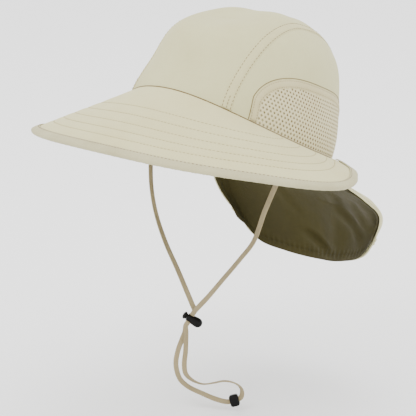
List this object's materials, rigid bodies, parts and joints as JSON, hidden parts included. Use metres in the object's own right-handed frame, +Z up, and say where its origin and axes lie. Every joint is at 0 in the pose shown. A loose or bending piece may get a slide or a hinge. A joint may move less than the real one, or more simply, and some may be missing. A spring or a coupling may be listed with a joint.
{
  "type": "sport hat",
  "caption": "Soft sun hat with a wide stitched bill, mesh vents at the sides of the crown, a hanging neck cape and a chin cord with a press lock.",
  "frame": {"origin": "centre of the head opening, level with the middle of the seam round the crown's foot", "axes": "+Z up as worn, -Y the way the wearer faces, +X the wearer's left; the hat is pitched back by 21.3 degrees, its bill's middle lifted"},
  "size_m": [0.329, 0.2897, 0.3558],
  "materials": {
    "shell_cloth": "pale stone, smooth woven, matte",
    "vent_mesh": "pale stone knitted mesh with small round holes",
    "trim_cloth": "pale stone folded facing, stitched",
    "brim_cloth": "pale stone, smooth woven, matte, darker cloth below",
    "binding_cloth": "pale stone folded binding, stitched",
    "cape_cloth": "pale stone, smooth woven, matte",
    "lining_cloth": "dark olive, smooth woven",
    "cord_lace": "tan flat woven lace",
    "black_plastic": "black, satin"
  },
  "bodies": {
    "hat": {"crown_center_panel": "shell_cloth", "crown_side_panel_left": "shell_cloth", "crown_side_panel_right": "shell_cloth", "seam_band_left": "shell_cloth", "seam_band_right": "shell_cloth", "mesh_panel_left": "vent_mesh", "mesh_panel_right": "vent_mesh", "mesh_trim_left": "trim_cloth", "mesh_trim_right": "trim_cloth", "brim": "brim_cloth", "brim_binding": "binding_cloth", "cape_outer": "cape_cloth", "cape_lining": "lining_cloth", "chin_cord": "cord_lace", "cord_bead": "black_plastic", "lock_barrel": "black_plastic"},
    "plunger": {"lock_plunger": "black_plastic"}
  },
  "joints": [
    {"name": "lock_press", "type": "slide", "parent": "hat", "child": "plunger", "axis": [0.7021, 0.504, -0.503], "range_m": [0, 0.0007], "stiffness_N_per_m": 400}
  ]
}
